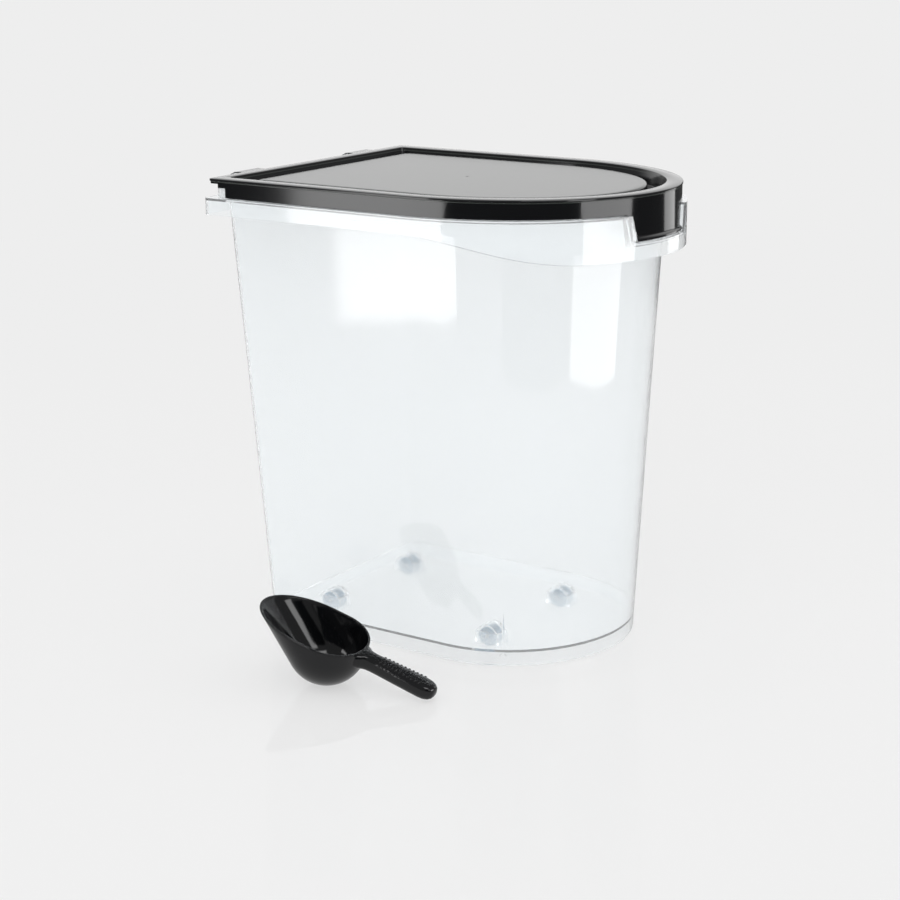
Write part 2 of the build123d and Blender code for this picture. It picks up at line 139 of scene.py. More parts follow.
# World: even pale light all round. The camera and the clear plastic see the backdrop's grey in it. Gloss sees
# a darker studio, with the pale backdrop only on the far side of the object.
room_glow = 0.95
studio_gloss = 0.3
backdrop_gloss = 1.1
backdrop_way = (0.829, 0.559, 0.1)
backdrop_edge = 0.45
backdrop_full = 0.75
world = bpy.data.worlds.new("soft_room")
bpy.context.scene.world = world
world.use_nodes = True
world.node_tree.nodes.clear()
tree = world.node_tree
path = put(tree, "LightPath")
way = put(tree, "TexCoord")
facing = put(tree, "VectorMath", {"operation": "DOT_PRODUCT"}, {0: way.outputs["Generated"], 1: backdrop_way})
gloss_level = put(tree, "MapRange", smooth_step, {
    "Value": facing.outputs["Value"], "From Min": backdrop_edge, "From Max": backdrop_full,
    "To Min": studio_gloss, "To Max": backdrop_gloss})
sees = put(tree, "Math", {"operation": "MAXIMUM"}, {
    0: path.outputs["Is Camera Ray"], 1: path.outputs["Is Transmission Ray"]})
room_light = put(tree, "Background", None, {"Color": (1, 1, 1, 1), "Strength": room_glow})
room_seen = put(tree, "Background", None, {"Color": grey, "Strength": 1.0})
room_gloss = put(tree, "Background", None, {"Color": (1, 1, 1, 1), "Strength": gloss_level.outputs[0]})
room = put(tree, "MixShader", None, {0: sees.outputs[0], 1: room_light.outputs[0], 2: room_seen.outputs[0]})
room = put(tree, "MixShader", None, {0: mirror_ray(tree), 1: room.outputs[0], 2: room_gloss.outputs[0]})
put(tree, "OutputWorld", None, {"Surface": room.outputs[0]})

# Softboxes and cards: two lamps light the object. Upright cards, pale or black, stand round it as in a
# studio, and only the gloss of its own pieces sees them.


def softbox(name, centre, target, size, power):
    """A square area lamp that faces a target and isn't seen itself."""
    data = bpy.data.lights.new(name, "AREA")
    data.shape = "SQUARE"
    data.size = size
    data.energy = power
    lamp = bpy.data.objects.new(name, data)
    bpy.context.scene.collection.objects.link(lamp)
    aim = Vector(target) - Vector(centre)
    lamp.matrix_world = Matrix.Translation(centre) @ aim.to_track_quat("-Z", "Y").to_matrix().to_4x4()
    lamp.visible_camera = False
    lamp.visible_transmission = False
    lamp.visible_glossy = False


softbox("key_softbox", (-1.6, -0.4, 2.2), (0, 0, 0.2), 1.6, 9)
softbox("fill_softbox", (1.2, -1.8, 1.4), (0, 0, 0.2), 1.4, 3)
mirrors = bpy.data.collections.new("pieces_that_mirror_the_cards")


def card(name, turns, reach, low, high, glow):
    """An upright card between two turns, measured from +Y towards +X, and between two levels."""
    sides = [(reach * sin(radians(turn)), reach * cos(radians(turn))) for turn in turns]
    bpy.ops.object.select_all(action="DESELECT")
    bpy.ops.mesh.primitive_plane_add(size=1)
    panel = bpy.context.object
    panel.name = name
    corners = [(x, y, level) for level in (low, high) for x, y in sides]
    for vertex, corner in zip(panel.data.vertices, corners):
        vertex.co = corner
    paint, tree = new_tree(name + "_paint")
    light = put(tree, "Emission", None, {"Color": (1, 1, 1, 1), "Strength": glow})
    if glow:
        see_through = put(tree, "BsdfTransparent")
        light = put(tree, "AddShader", None, {0: light.outputs[0], 1: see_through.outputs[0]})
    put(tree, "OutputMaterial", None, {"Surface": light.outputs[0]})
    panel.data.materials.append(paint)
    panel.visible_camera = False
    panel.visible_diffuse = False
    panel.visible_transmission = False
    panel.visible_shadow = False
    panel.light_linking.receiver_collection = mirrors


card("side_card", (-52.5, -84), 1.2, 0.2, 0.42, 4.6)
card("side_low_card", (-54, -83), 1.2, 0.0, 0.14, 4.0)
card("nose_card", (-160, -197), 1.2, 0.19, 0.36, 4.4)
card("nose_low_card", (-168, -206), 0.7, 0.09, 0.24, 3.0)
card("flap_card", (127, 108), 1.2, 0.19, 0.36, 2.2)
card("dark_card", (-120, -166), 0.7, 0.09, 0.25, 0.0)
card("scoop_card", (-151.5, -169), 1.4, 0.47, 0.75, 4.0)
card("scoop_heel_card", (-56, -76), 1.2, 0.46, 0.75, 4.0)
card("high_card", (-125, -160), 1.4, 1.0, 1.5, 4.0)

# Tub: one injection moulding in clear natural polypropylene. The floor stands above a ring, the wall tapers
# by 3 degrees, and the apron band hangs outside the rim, deeper at the nose.

# Polished clear polypropylene looks nearly colourless. A little haze softens what is behind it, and a slow
# ripple, 71 mm from crest to crest, bends its reflections. Most of the lamps' light passes through it, and so
# does light that has been thrown to and fro inside a wall.
mm = 0.001
ripple_length = 71.43 * mm
clear_polypropylene, tree = new_tree("clear_polypropylene")
place = put(tree, "TexCoord")
flow = put(tree, "TexNoise", None, {
    "Vector": place.outputs["Object"], "Scale": 1 / ripple_length, "Detail": 1.0})
ripple = put(tree, "Bump", None, {"Height": flow.outputs["Fac"], "Strength": 0.25, "Distance": 0.6 * mm})
path = put(tree, "LightPath")
shade = put(tree, "Math", {"operation": "MULTIPLY_ADD"}, {0: path.outputs["Is Shadow Ray"], 1: -0.9, 2: 1.0})
early = put(tree, "Math", {"operation": "LESS_THAN"}, {0: path.outputs["Ray Depth"], 1: 6.5})
shade = put(tree, "Math", {"operation": "MULTIPLY"}, {0: shade.outputs[0], 1: early.outputs[0]})
shader = put(tree, "BsdfPrincipled", None, {
    "Base Color": linear("#FBFDFE"), "Roughness": 0.07, "IOR": 1.49, "Alpha": shade.outputs[0],
    "Transmission Weight": 0.9, "Normal": ripple.outputs[0]})
put(tree, "OutputMaterial", None, {"Surface": shader.outputs[0]})

tub_wall = 2.2 * mm
base_half_width = 119.5 * mm
base_half_length = 158.5 * mm
base_nose_depth = 113 * mm
base_corner = 8 * mm
wall_slope = tan(radians(3.07))
rim_half_width = 152.924 * mm
rim_back = 191.624 * mm
rim_nose = 199.624 * mm
rim_nose_depth = 175 * mm
ring_foot = 1.5 * mm
floor_under = 14 * mm
floor_top = 16.5 * mm
shelf_under = 411.6 * mm
shelf_top = 414 * mm
neck_top = 426.8 * mm
apron_side_low = 398.5 * mm
apron_nose_low = 375 * mm
apron_sweep_start = -26 * mm
apron_sweep_length = 148 * mm
apron_in = -2 * mm
apron_out = -4 * mm
neck_out = 3.4 * mm
neck_in = 5.6 * mm
neck_back_step = 1.2 * mm
corner_steps = 8
nose_steps = 96


def d_outline(half_width, back, nose, nose_depth, corner, level):
    """Points round a D-shaped plan: side, corner, back, corner, side and half-ellipse nose."""
    start = nose_depth - nose
    shares = (0.02, 0.5, 0.98)
    arc = [pi / 2 * step / corner_steps for step in range(corner_steps + 1)]
    side_end = back - corner
    back_end = half_width - corner
    points = [(half_width, start + share * (side_end - start)) for share in shares]
    points += [(back_end + corner * cos(turn), side_end + corner * sin(turn)) for turn in arc]
    points += [(back_end * (1 - 2 * share), back) for share in shares]
    points += [(-back_end - corner * sin(turn), side_end + corner * cos(turn)) for turn in arc]
    points += [(-half_width, side_end + share * (start - side_end)) for share in shares]
    points += [
        (-half_width * cos(pi * step / nose_steps), start - nose_depth * sin(pi * step / nose_steps))
        for step in range(nose_steps + 1)]
    return [Vector((x, y, level(y) if callable(level) else level)) for x, y in points]


def tub_ring(level, inset=0.0):
    """The tapering wall's outline at a level, drawn in by an inset."""
    grow = (level - ring_foot) * wall_slope - inset
    return d_outline(
        base_half_width + grow, base_half_length + grow, base_half_length + grow, base_nose_depth + grow,
        base_corner - inset, level)


def rim_ring(inset, corner, level, back_inset=None):
    """The lid's outline at a level, drawn in by an inset, which may differ along the back."""
    back = rim_back - (inset if back_inset is None else back_inset)
    return d_outline(rim_half_width - inset, back, rim_nose - inset, rim_nose_depth - inset, corner, level)


def apron_low(y):
    """Level of the apron's lower edge, which sweeps down towards the nose."""
    share = min(max((apron_sweep_start - y) / apron_sweep_length, 0), 1)
    return apron_side_low + (apron_nose_low - apron_side_low) * share * share * (3 - 2 * share)


def place_ring(points):
    """Moves the selected vertices, each to its own point of an outline."""
    mesh = bmesh.from_edit_mesh(bpy.context.object.data)
    spot = mesh.verts.layers.int["spot"]
    for vertex in mesh.verts:
        if vertex.select:
            vertex.co = points[vertex[spot]]
    bmesh.update_edit_mesh(bpy.context.object.data)


def stack_rings(name, rings, closed_tube=False):
    """Extrudes a loop of edges from outline to outline. It ends in two caps, or meets itself as a tube."""
    bpy.ops.object.select_all(action="DESELECT")
    fill = "NOTHING" if closed_tube else "NGON"
    bpy.ops.mesh.primitive_circle_add(vertices=len(rings[0]), fill_type=fill)
    piece = bpy.context.object
    piece.name = name
    bpy.ops.object.mode_set(mode="EDIT")
    mesh = bmesh.from_edit_mesh(piece.data)
    spot = mesh.verts.layers.int.new("spot")
    for index, vertex in enumerate(mesh.verts):
        vertex[spot] = index
    place_ring(rings[0])
    for points in rings[1:]:
        bpy.ops.mesh.extrude_region_move()
        place_ring(points)
    if closed_tube:
        bpy.ops.mesh.select_all(action="DESELECT")
        bpy.ops.mesh.select_non_manifold()
        bpy.ops.mesh.bridge_edge_loops()
    bpy.ops.mesh.select_all(action="SELECT")
    bpy.ops.mesh.normals_make_consistent(inside=False)
    bpy.ops.object.mode_set(mode="OBJECT")
    return piece


def combine(piece, tool, operation):
    """Joins a tool shape to the piece, or cuts the piece with it, and removes the tool."""
    bpy.ops.object.select_all(action="DESELECT")
    bpy.context.view_layer.objects.active = piece
    piece.select_set(True)
    step = piece.modifiers.new("combine", "BOOLEAN")
    step.operation = operation
    step.solver = "EXACT"
    step.object = tool
    bpy.ops.object.modifier_apply(modifier=step.name)
    bpy.data.objects.remove(tool)


def box(low, high):
    """A box between two corners, left in edit mode for shaping."""
    bpy.ops.object.select_all(action="DESELECT")
    middle = (Vector(low) + Vector(high)) / 2
    bpy.ops.mesh.primitive_cube_add(size=1)
    bpy.ops.object.mode_set(mode="EDIT")
    bpy.ops.transform.resize(value=Vector(high) - Vector(low))
    bpy.ops.transform.translate(value=middle)
    return bpy.context.object


def bar_across(centre, radius, length, sides=64):
    """A round bar along X, left in edit mode for shaping."""
    bpy.ops.object.select_all(action="DESELECT")
    bpy.ops.mesh.primitive_cylinder_add(vertices=sides, radius=radius, depth=length)
    bpy.ops.object.mode_set(mode="EDIT")
    bpy.ops.transform.rotate(value=pi / 2, orient_axis="Y", center_override=(0, 0, 0))
    bpy.ops.transform.translate(value=centre)
    return bpy.context.object


def select_by(element_kind, wanted):
    """In edit mode, selects only the vertices, edges or faces whose middle passes the test."""
    bpy.ops.mesh.select_mode(type=element_kind)
    bpy.ops.mesh.select_all(action="DESELECT")
    mesh = bmesh.from_edit_mesh(bpy.context.object.data)
    elements = {"VERT": mesh.verts, "EDGE": mesh.edges, "FACE": mesh.faces}[element_kind]
    for element in elements:
        corners = [element.co] if element_kind == "VERT" else [vertex.co for vertex in element.verts]
        if wanted(sum(corners, Vector()) / len(corners), corners):
            element.select_set(True)
    mesh.select_flush_mode()
    bmesh.update_edit_mesh(bpy.context.object.data)


def finish_piece(piece, finish, body, nodes, angle=30, edge=0.0):
    """Rounds the sharp edges, gives the piece its material and smooth shading, and hangs it on its body."""
    bpy.ops.object.select_all(action="DESELECT")
    piece.select_set(True)
    bpy.context.view_layer.objects.active = piece
    if edge:
        rounding = piece.modifiers.new("rounding", "BEVEL")
        rounding.width = edge
        rounding.segments = 2
        rounding.limit_method = "ANGLE"
        rounding.angle_limit = radians(40)
        rounding.harden_normals = False
        bpy.ops.object.modifier_apply(modifier=rounding.name)
    piece.data.materials.clear()
    piece.data.materials.append(finish)
    bpy.ops.object.shade_smooth_by_angle(angle=radians(angle))
    mirrors.objects.link(piece)
    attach(piece, body)
    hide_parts(*nodes)


tub = stack_rings("tub", [
    tub_ring(floor_under, tub_wall),
    tub_ring(ring_foot, tub_wall),
    tub_ring(ring_foot),
    tub_ring(shelf_under),
    rim_ring(apron_in, 5 * mm, shelf_under),
    rim_ring(apron_in, 5 * mm, apron_low),
    rim_ring(apron_out, 7 * mm, apron_low),
    rim_ring(apron_out, 7 * mm, shelf_top),
    rim_ring(neck_out, 8 * mm, shelf_top, neck_out + neck_back_step),
    rim_ring(neck_out, 8 * mm, neck_top, neck_out + neck_back_step),
    rim_ring(neck_in, 5.8 * mm, neck_top, neck_in + neck_back_step),
    rim_ring(neck_in, 5.8 * mm, shelf_top, neck_in + neck_back_step),
    tub_ring(shelf_top, tub_wall),
    tub_ring(floor_top, tub_wall),
])

# Wheel wells: four half-round roofs of the same clear moulding, raised from the floor and open below for a
# wheel. The ends of its pin are held in the two sides.
wheel_radius = 10 * mm
wheel_side = 64.5 * mm
wheel_front = -60 * mm
wheel_back = 123 * mm
well_radius = 11.2 * mm
well_width = 11.8 * mm
well_wall = 2 * mm
well_foot = 3 * mm
below_base = -2 * mm
wheel_spots = {
    "front_left": (-wheel_side, wheel_front), "front_right": (wheel_side, wheel_front),
    "back_left": (-wheel_side, wheel_back), "back_right": (wheel_side, wheel_back)}


def well_shape(x, y, radius, length, foot):
    """A half-round roof over a box, for a wheel well or the space in it."""
    shape = bar_across((x, y, wheel_radius), radius, length)
    bpy.ops.mesh.bisect(plane_co=(x, y, wheel_radius), plane_no=(0, 0, 1), use_fill=True, clear_inner=True)
    select_by("FACE", lambda middle, corners: all(abs(c.z - wheel_radius) < 0.01 * mm for c in corners))
    bpy.ops.mesh.extrude_region_move(TRANSFORM_OT_translate={"value": (0, 0, foot - wheel_radius)})
    bpy.ops.mesh.select_all(action="SELECT")
    bpy.ops.mesh.normals_make_consistent(inside=False)
    bpy.ops.object.mode_set(mode="OBJECT")
    return shape


for x, y in wheel_spots.values():
    combine(tub, well_shape(x, y, well_radius + well_wall, well_width + 2 * well_wall, well_foot), "UNION")
    combine(tub, well_shape(x, y, well_radius, well_width, below_base), "DIFFERENCE")

# Gate bead: the thin runner mark that the mould leaves on the outside of the wall, near the foot of the
# nose, of the same clear plastic.
gate_place = Vector((-105 * mm, -99.4 * mm, 0))
gate_out = Vector((-0.867, -0.498, 0))
gate_side = Vector((0.498, -0.867, 0))


def gate_ring(level, half_width, proud):
    """A half-round section of the gate bead, on the sloping wall at a level."""
    middle = gate_place + gate_out * (level - ring_foot) * wall_slope + Vector((0, 0, level))
    turns = [pi * step / 6 for step in range(7)]
    front = [middle + gate_side * half_width * cos(turn) + gate_out * proud * sin(turn) for turn in turns]
    sunk = middle - gate_out * mm
    return front + [sunk - gate_side * half_width, sunk + gate_side * half_width]


combine(tub, stack_rings("gate_bead", [
    gate_ring(2 * mm, 3.5 * mm, 1.2 * mm),
    gate_ring(11 * mm, 3.5 * mm, 1.2 * mm),
    gate_ring(13 * mm, 1 * mm, 0.8 * mm),
    gate_ring(50 * mm, 1 * mm, 0.8 * mm),
    gate_ring(52 * mm, 0.6 * mm, 0.3 * mm),
]), "UNION")

# Latch pocket: thin walls moulded on the front of the rim behind the apron, with a slot between them that
# takes the lid's flap. The corners at the foot of the slot are rounded.
pocket_top = 412.8 * mm
pocket_foot = 386.9 * mm
slot_foot = 389.3 * mm
past_top = 420 * mm
past_foot = 380 * mm
slot_corner = 3.8 * mm
before_nose = -250 * mm
behind_nose = -100 * mm


def rim_band(name, outer, inner, foot, top):
    """A closed band that follows the rim's outline, between two insets and two levels."""
    band = stack_rings(name, [rim_ring(outer, 6 * mm, foot), rim_ring(outer, 6 * mm, top)])
    core = stack_rings("core", [rim_ring(inner, 8 * mm, past_foot), rim_ring(inner, 8 * mm, top + 10 * mm)])
    combine(band, core, "DIFFERENCE")
    return band


def front_block(half_top, half_foot, foot):
    """A block through the front of the rim with sloping ends, as the latch flap has."""
    block = box((-half_top, before_nose, foot), (half_top, behind_nose, past_top))
    select_by("VERT", lambda middle, corners: middle.z < foot + 0.1 * mm)
    bpy.ops.transform.resize(value=(half_foot / half_top, 1, 1), center_override=(0, 0, foot))
    return block


pocket_walls = rim_band("pocket_walls", outer=-3 * mm, inner=neck_in, foot=pocket_foot, top=pocket_top)
walls_front = front_block(half_top=51.1 * mm, half_foot=44.7 * mm, foot=past_foot)
bpy.ops.object.mode_set(mode="OBJECT")
combine(pocket_walls, walls_front, "INTERSECT")
combine(tub, pocket_walls, "UNION")
pocket_slot = rim_band("pocket_slot", outer=-20 * mm, inner=3.3 * mm, foot=slot_foot, top=past_top)
slot_front = front_block(half_top=50.6 * mm, half_foot=42.8 * mm, foot=slot_foot)
select_by("EDGE", lambda middle, corners: (
    middle.z < slot_foot + 0.7 * mm and abs(corners[0].x - corners[1].x) < 0.01 * mm))
bpy.ops.mesh.bevel(offset=slot_corner, segments=6, affect="EDGES")
bpy.ops.object.mode_set(mode="OBJECT")
combine(pocket_slot, slot_front, "INTERSECT")
combine(tub, pocket_slot, "DIFFERENCE")

# Hinge ears: two pairs of ears moulded on the back of the rim, each pair with a round bar between them, which
# the lid's hooks close over.
hinge_y = 199.124 * mm
hinge_z = 426.32 * mm
hook_place = 87 * mm
hook_width = 34 * mm
hook_side_gap = 0.6 * mm
ear_width = 3.5 * mm
ear_radius = 4.4 * mm
ear_foot_length = 7.6 * mm
ear_foot_y = 191.3 * mm
ear_foot_z = 413 * mm
bar_radius = 2.5 * mm
bar_length = 37 * mm
for side in (-1, 1):
    for way in (-1, 1):
        ear_x = side * hook_place + way * (hook_width / 2 + hook_side_gap + ear_width / 2)
        ear = bar_across((ear_x, hinge_y, hinge_z), ear_radius, ear_width)
        bpy.ops.mesh.primitive_cube_add(size=1)
        bpy.ops.transform.resize(value=(ear_width, ear_foot_length, mm), center_override=(0, 0, 0))
        bpy.ops.transform.translate(value=(ear_x, ear_foot_y, ear_foot_z))
        bpy.ops.mesh.select_all(action="SELECT")
        bpy.ops.mesh.convex_hull()
        bpy.ops.object.mode_set(mode="OBJECT")
        combine(tub, ear, "UNION")
    bar = bar_across((side * hook_place, hinge_y, hinge_z), bar_radius, bar_length)
    bpy.ops.object.mode_set(mode="OBJECT")
    combine(tub, bar, "UNION")
finish_piece(tub, clear_polypropylene, "bin", ["bin_body"])

# Seal ring: soft natural elastomer, moulded as a closed ring of flat section and pushed up into the channel
# under the lid's flange. It looks dull and off-white.
flange_under = 429.1 * mm
seal_foot = 427.12 * mm
seal_top = flange_under - 0.02 * mm
seal_out = 2.82 * mm
seal_in = 7.18 * mm
elastomer, tree = new_tree("natural_elastomer")
shader = put(tree, "BsdfPrincipled", None, {"Base Color": linear("#D5D8D6"), "Roughness": 0.5, "IOR": 1.45})
put(tree, "OutputMaterial", None, {"Surface": shader.outputs[0]})
seal = stack_rings("seal_ring", [
    rim_ring(seal_out, 8 * mm, seal_top, seal_out + neck_back_step),
    rim_ring(seal_out, 8 * mm, seal_foot, seal_out + neck_back_step),
    rim_ring(seal_in, 8 * mm, seal_foot, seal_in + neck_back_step),
    rim_ring(seal_in, 8 * mm, seal_top, seal_in + neck_back_step),
], closed_tube=True)
finish_piece(seal, elastomer, "lid", ["lid_seal"], edge=0.4 * mm)

# Lid: one moulding in black polypropylene. A flat flange runs round a moat and a raised centre panel, and a
# skirt hangs below it with the latch flap at the nose.

# Polished black polypropylene mirrors the studio sharply. The centre panel is satin from a fine mould
# texture, and its base colour is painted a shade greyer as a painted sheen, standing in for the pale gloss
# that it shows at a low angle.
lid_top = 431.5 * mm
panel_top = 428.8 * mm
moat_floor = 417.5 * mm
moat_under = 415.3 * mm
black_polypropylene, tree = new_tree("black_polypropylene")
place = put(tree, "TexCoord")
axes = put(tree, "SeparateXYZ", None, {"Vector": place.outputs["Object"]})
on_panel = put(tree, "Math", {"operation": "COMPARE"}, {0: axes.outputs["Z"], 1: panel_top, 2: 0.5 * mm})
roughness = put(tree, "MapRange", None, {"Value": on_panel.outputs[0], "To Min": 0.1, "To Max": 0.2})
# Painted sheen: the panel's greyer base colour stands in for the pale gloss of its satin face at a low angle.
colour = put(tree, "Mix", {"data_type": "RGBA"}, {
    0: on_panel.outputs[0], 6: linear("#0B0C0E"), 7: linear("#303431")})
shader = put(tree, "BsdfPrincipled", None, {
    "Base Color": colour.outputs[2], "Roughness": roughness.outputs[0], "IOR": 1.49})
put(tree, "OutputMaterial", None, {"Surface": shader.outputs[0]})


def lid_ring(inset, back_step, corner, level):
    """A ring of the lid at a level. Along the back its inset is smaller by a step."""
    return rim_ring(inset * mm, corner * mm, level, (inset - back_step) * mm)


lid = stack_rings("lid_moulding", [
    lid_ring(34.4, 2, 5, panel_top - 2.2 * mm),
    lid_ring(34.4, 2, 5, moat_under),
    lid_ring(12.8, 3, 7.2, moat_under),
    lid_ring(12.8, 3, 7.2, flange_under),
    lid_ring(8.6, -1.1, 8, flange_under),
    lid_ring(8.6, -1.1, 8, seal_foot - 0.02 * mm),
    lid_ring(7.2, -1.2, 8, seal_foot - 0.02 * mm),
    lid_ring(7.2, -1.2, 8, flange_under),
    lid_ring(0.4, 0, 3.6, flange_under),
    lid_ring(0, 0, 4, flange_under + 0.4 * mm),
    lid_ring(0, 0, 4, lid_top - 0.6 * mm),
    lid_ring(0.2, 0, 3.8, lid_top - 0.2 * mm),
    lid_ring(0.6, 0, 3.4, lid_top),
    lid_ring(14.4, 3, 5.6, lid_top),
    lid_ring(14.8, 3, 5.2, lid_top - 0.2 * mm),
    lid_ring(15, 3, 5, lid_top - 0.6 * mm),
    lid_ring(15, 3, 5, moat_floor + 0.8 * mm),
    lid_ring(15.2, 3, 5, moat_floor + 0.2 * mm),
    lid_ring(15.8, 3, 5, moat_floor),
    lid_ring(31.4, 2, 5, moat_floor),
    lid_ring(32, 2, 5, moat_floor + 0.2 * mm),
    lid_ring(32.2, 2, 5, moat_floor + 0.8 * mm),
    lid_ring(32.2, 2, 5, panel_top - 2.4 * mm),
    lid_ring(32.4, 2, 5, panel_top - 1.5 * mm),
    lid_ring(32.9, 2, 5, panel_top - 0.7 * mm),
    lid_ring(33.7, 2, 5, panel_top - 0.2 * mm),
    lid_ring(34.6, 2, 5, panel_top),
    lid_ring(40, 2, 5, panel_top),
])

# Skirt and flap: a thin wall under the flange, of the same black moulding, cut away along the back for the
# hinge. At the nose it runs on down as a flap with sloping sides, rounded roots and a lip turned outwards.
skirt_foot = 414.5 * mm
skirt_top = 430.3 * mm
flap_foot = 390.5 * mm
flap_root = 48 * mm
flap_root_bend = 5 * mm
flap_slope = 0.25
skirt = stack_rings("skirt", [
    lid_ring(2.8, 0, 4, skirt_top),
    lid_ring(2.8, 0, 4, flap_foot),
    lid_ring(-1.4, 0, 4, flap_foot),
    lid_ring(-2, 0, 4, flap_foot + 0.6 * mm),
    lid_ring(-2, 0, 4, flap_foot + 1.9 * mm),
    lid_ring(-1.3, 0, 4, flap_foot + 2.8 * mm),
    lid_ring(-0.3, 0, 4, flap_foot + 3.3 * mm),
    lid_ring(0.4, 0, 4, flap_foot + 3.9 * mm),
    lid_ring(0.6, 0, 4, flap_foot + 4.9 * mm),
    lid_ring(0.6, 0, 4, skirt_top),
], closed_tube=True)
for side in (-1, 1):
    beside = box((flap_root, -0.3, past_foot), (0.2, 0.3, skirt_foot))
    select_by("VERT", lambda middle, corners: middle.z < past_foot + mm and middle.x < flap_root + mm)
    bpy.ops.transform.translate(value=(-flap_slope * (skirt_foot - past_foot), 0, 0))
    select_by("EDGE", lambda middle, corners: abs(middle.x - flap_root) < 0.01 * mm and middle.z > 414 * mm)
    bpy.ops.mesh.bevel(offset=flap_root_bend, segments=8, affect="EDGES")
    if side < 0:
        bpy.ops.mesh.select_all(action="SELECT")
        bpy.ops.transform.resize(value=(-1, 1, 1), center_override=(0, 0, 0))
        bpy.ops.mesh.normals_make_consistent(inside=False)
    bpy.ops.object.mode_set(mode="OBJECT")
    combine(skirt, beside, "DIFFERENCE")
cut_backs = (
    (0, past_foot, skirt_foot),
    (172.1 * mm, 400 * mm, 423.4 * mm),
    (180.5 * mm, 400 * mm, 427 * mm))
for front, foot, top in cut_backs:
    behind = box((-0.2, front, foot), (0.2, 0.3, top))
    bpy.ops.object.mode_set(mode="OBJECT")
    combine(skirt, behind, "DIFFERENCE")
combine(lid, skirt, "UNION")

# Gate dimple: the small round hollow in the middle of the panel, where the plastic entered the mould.
dimple_radius = 2.2 * mm
dimple_y = 7.6 * mm
dimple_lift = 1.6 * mm
bpy.ops.object.select_all(action="DESELECT")
bpy.ops.mesh.primitive_uv_sphere_add(segments=32, ring_count=16, radius=dimple_radius)
dimple = bpy.context.object
bpy.ops.object.mode_set(mode="EDIT")
bpy.ops.transform.translate(value=(0, dimple_y, panel_top + dimple_lift))
bpy.ops.object.mode_set(mode="OBJECT")
combine(lid, dimple, "DIFFERENCE")

# Hinge hooks: two thick hooks at the back of the flange, open below, which snap down over the bars of the rim
# and turn on them.
hook_radius = 5.18 * mm
hook_bore = 2.58 * mm
mouth_half = 2.1 * mm
mouth_depth = 8 * mm
past_hook = 3 * mm
strap_front = 189.6 * mm
for side in (-1, 1):
    hook_x = side * hook_place
    hook = bar_across((hook_x, hinge_y, hinge_z), hook_radius, hook_width)
    bpy.ops.object.mode_set(mode="OBJECT")
    strap = box(
        (hook_x - hook_width / 2, strap_front, flange_under + 0.05 * mm),
        (hook_x + hook_width / 2, hinge_y, lid_top - 0.05 * mm))
    bpy.ops.object.mode_set(mode="OBJECT")
    combine(hook, strap, "UNION")
    bore = bar_across((hook_x, hinge_y, hinge_z), hook_bore, hook_width + 2 * past_hook)
    bpy.ops.object.mode_set(mode="OBJECT")
    combine(hook, bore, "DIFFERENCE")
    mouth = box(
        (hook_x - hook_width / 2 - past_hook, hinge_y - mouth_half, hinge_z - mouth_depth),
        (hook_x + hook_width / 2 + past_hook, hinge_y + mouth_half, hinge_z))
    bpy.ops.object.mode_set(mode="OBJECT")
    combine(hook, mouth, "DIFFERENCE")
    combine(lid, hook, "UNION")
finish_piece(lid, black_polypropylene, "lid", ["lid"])

# Wheels and pins: each small wheel is moulded in slate-blue polypropylene with recessed faces, a plain dull
# plastic. It turns on a pin of drawn steel wire, a bright metal, pressed into the two sides of its well.
wheel_polypropylene, tree = new_tree("slate_polypropylene")
shader = put(tree, "BsdfPrincipled", None, {"Base Color": linear("#4A7893"), "Roughness": 0.4, "IOR": 1.49})
put(tree, "OutputMaterial", None, {"Surface": shader.outputs[0]})
drawn_steel, tree = new_tree("drawn_steel")
shader = put(tree, "BsdfPrincipled", None, {
    "Base Color": linear("#B9BBBD"), "Metallic": 1.0, "Roughness": 0.3})
put(tree, "OutputMaterial", None, {"Surface": shader.outputs[0]})
wheel_width = 10 * mm
tyre_width = 2.2 * mm
dish_width = 4.2 * mm
dish_depth = 0.8 * mm
bore_radius = 1.58 * mm
pin_radius = 1.5 * mm
for spot, (x, y) in wheel_spots.items():
    wheel = bar_across((x, y, wheel_radius), wheel_radius, wheel_width)
    select_by("FACE", lambda middle, corners: len(corners) > 4)
    bpy.ops.mesh.inset(thickness=tyre_width)
    bpy.ops.mesh.extrude_region_shrink_fatten(TRANSFORM_OT_shrink_fatten={"value": -dish_depth})
    bpy.ops.mesh.inset(thickness=dish_width)
    bpy.ops.mesh.extrude_region_shrink_fatten(TRANSFORM_OT_shrink_fatten={"value": dish_depth})
    bpy.ops.object.mode_set(mode="OBJECT")
    wheel.name = "castor_" + spot
    bore = bar_across((x, y, wheel_radius), bore_radius, 2 * wheel_width, 32)
    bpy.ops.object.mode_set(mode="OBJECT")
    combine(wheel, bore, "DIFFERENCE")
    finish_piece(
        wheel, wheel_polypropylene, "wheel_" + spot, ["wheel_" + spot], edge=0.4 * mm)
    pin = bar_across((x, y, wheel_radius), pin_radius, well_width + 2 * well_wall, 32)
    bpy.ops.object.mode_set(mode="OBJECT")
    pin.name = "pin_" + spot
    finish_piece(pin, drawn_steel, "bin", ["axle_" + spot], edge=0.2 * mm)

# Scoop bowl: the scoop is one moulding in the same polished black polypropylene as the lid, loose beside the
# bin. Its thin bowl has a round heel and a long ramp to the mouth.
bowl_radius = 36.7 * mm
bowl_back = 43.5 * mm
bowl_front = 64 * mm
bowl_depth = 50.2 * mm
bowl_wall = 2.2 * mm
heel_x = bowl_radius - bowl_back
heel_z = bowl_radius - bowl_depth
ramp_angle = atan2(-heel_z, bowl_front - heel_x) + asin(bowl_radius / hypot(bowl_front - heel_x, heel_z))
scoop_origin = Vector((-225.5, 13.1, 51.731)) * mm
scoop_heading = Matrix.Rotation(radians(99.5), 3, "Z")
scoop_tip = Matrix.Rotation(radians(-17.996), 3, "Y") @ Matrix.Rotation(radians(-5.5), 3, "X")
scoop_turned = scoop_heading @ scoop_tip
rim_bend = 0.2 * mm
rim_round = 0.7 * mm
bowl_points = 96
halvings = 30
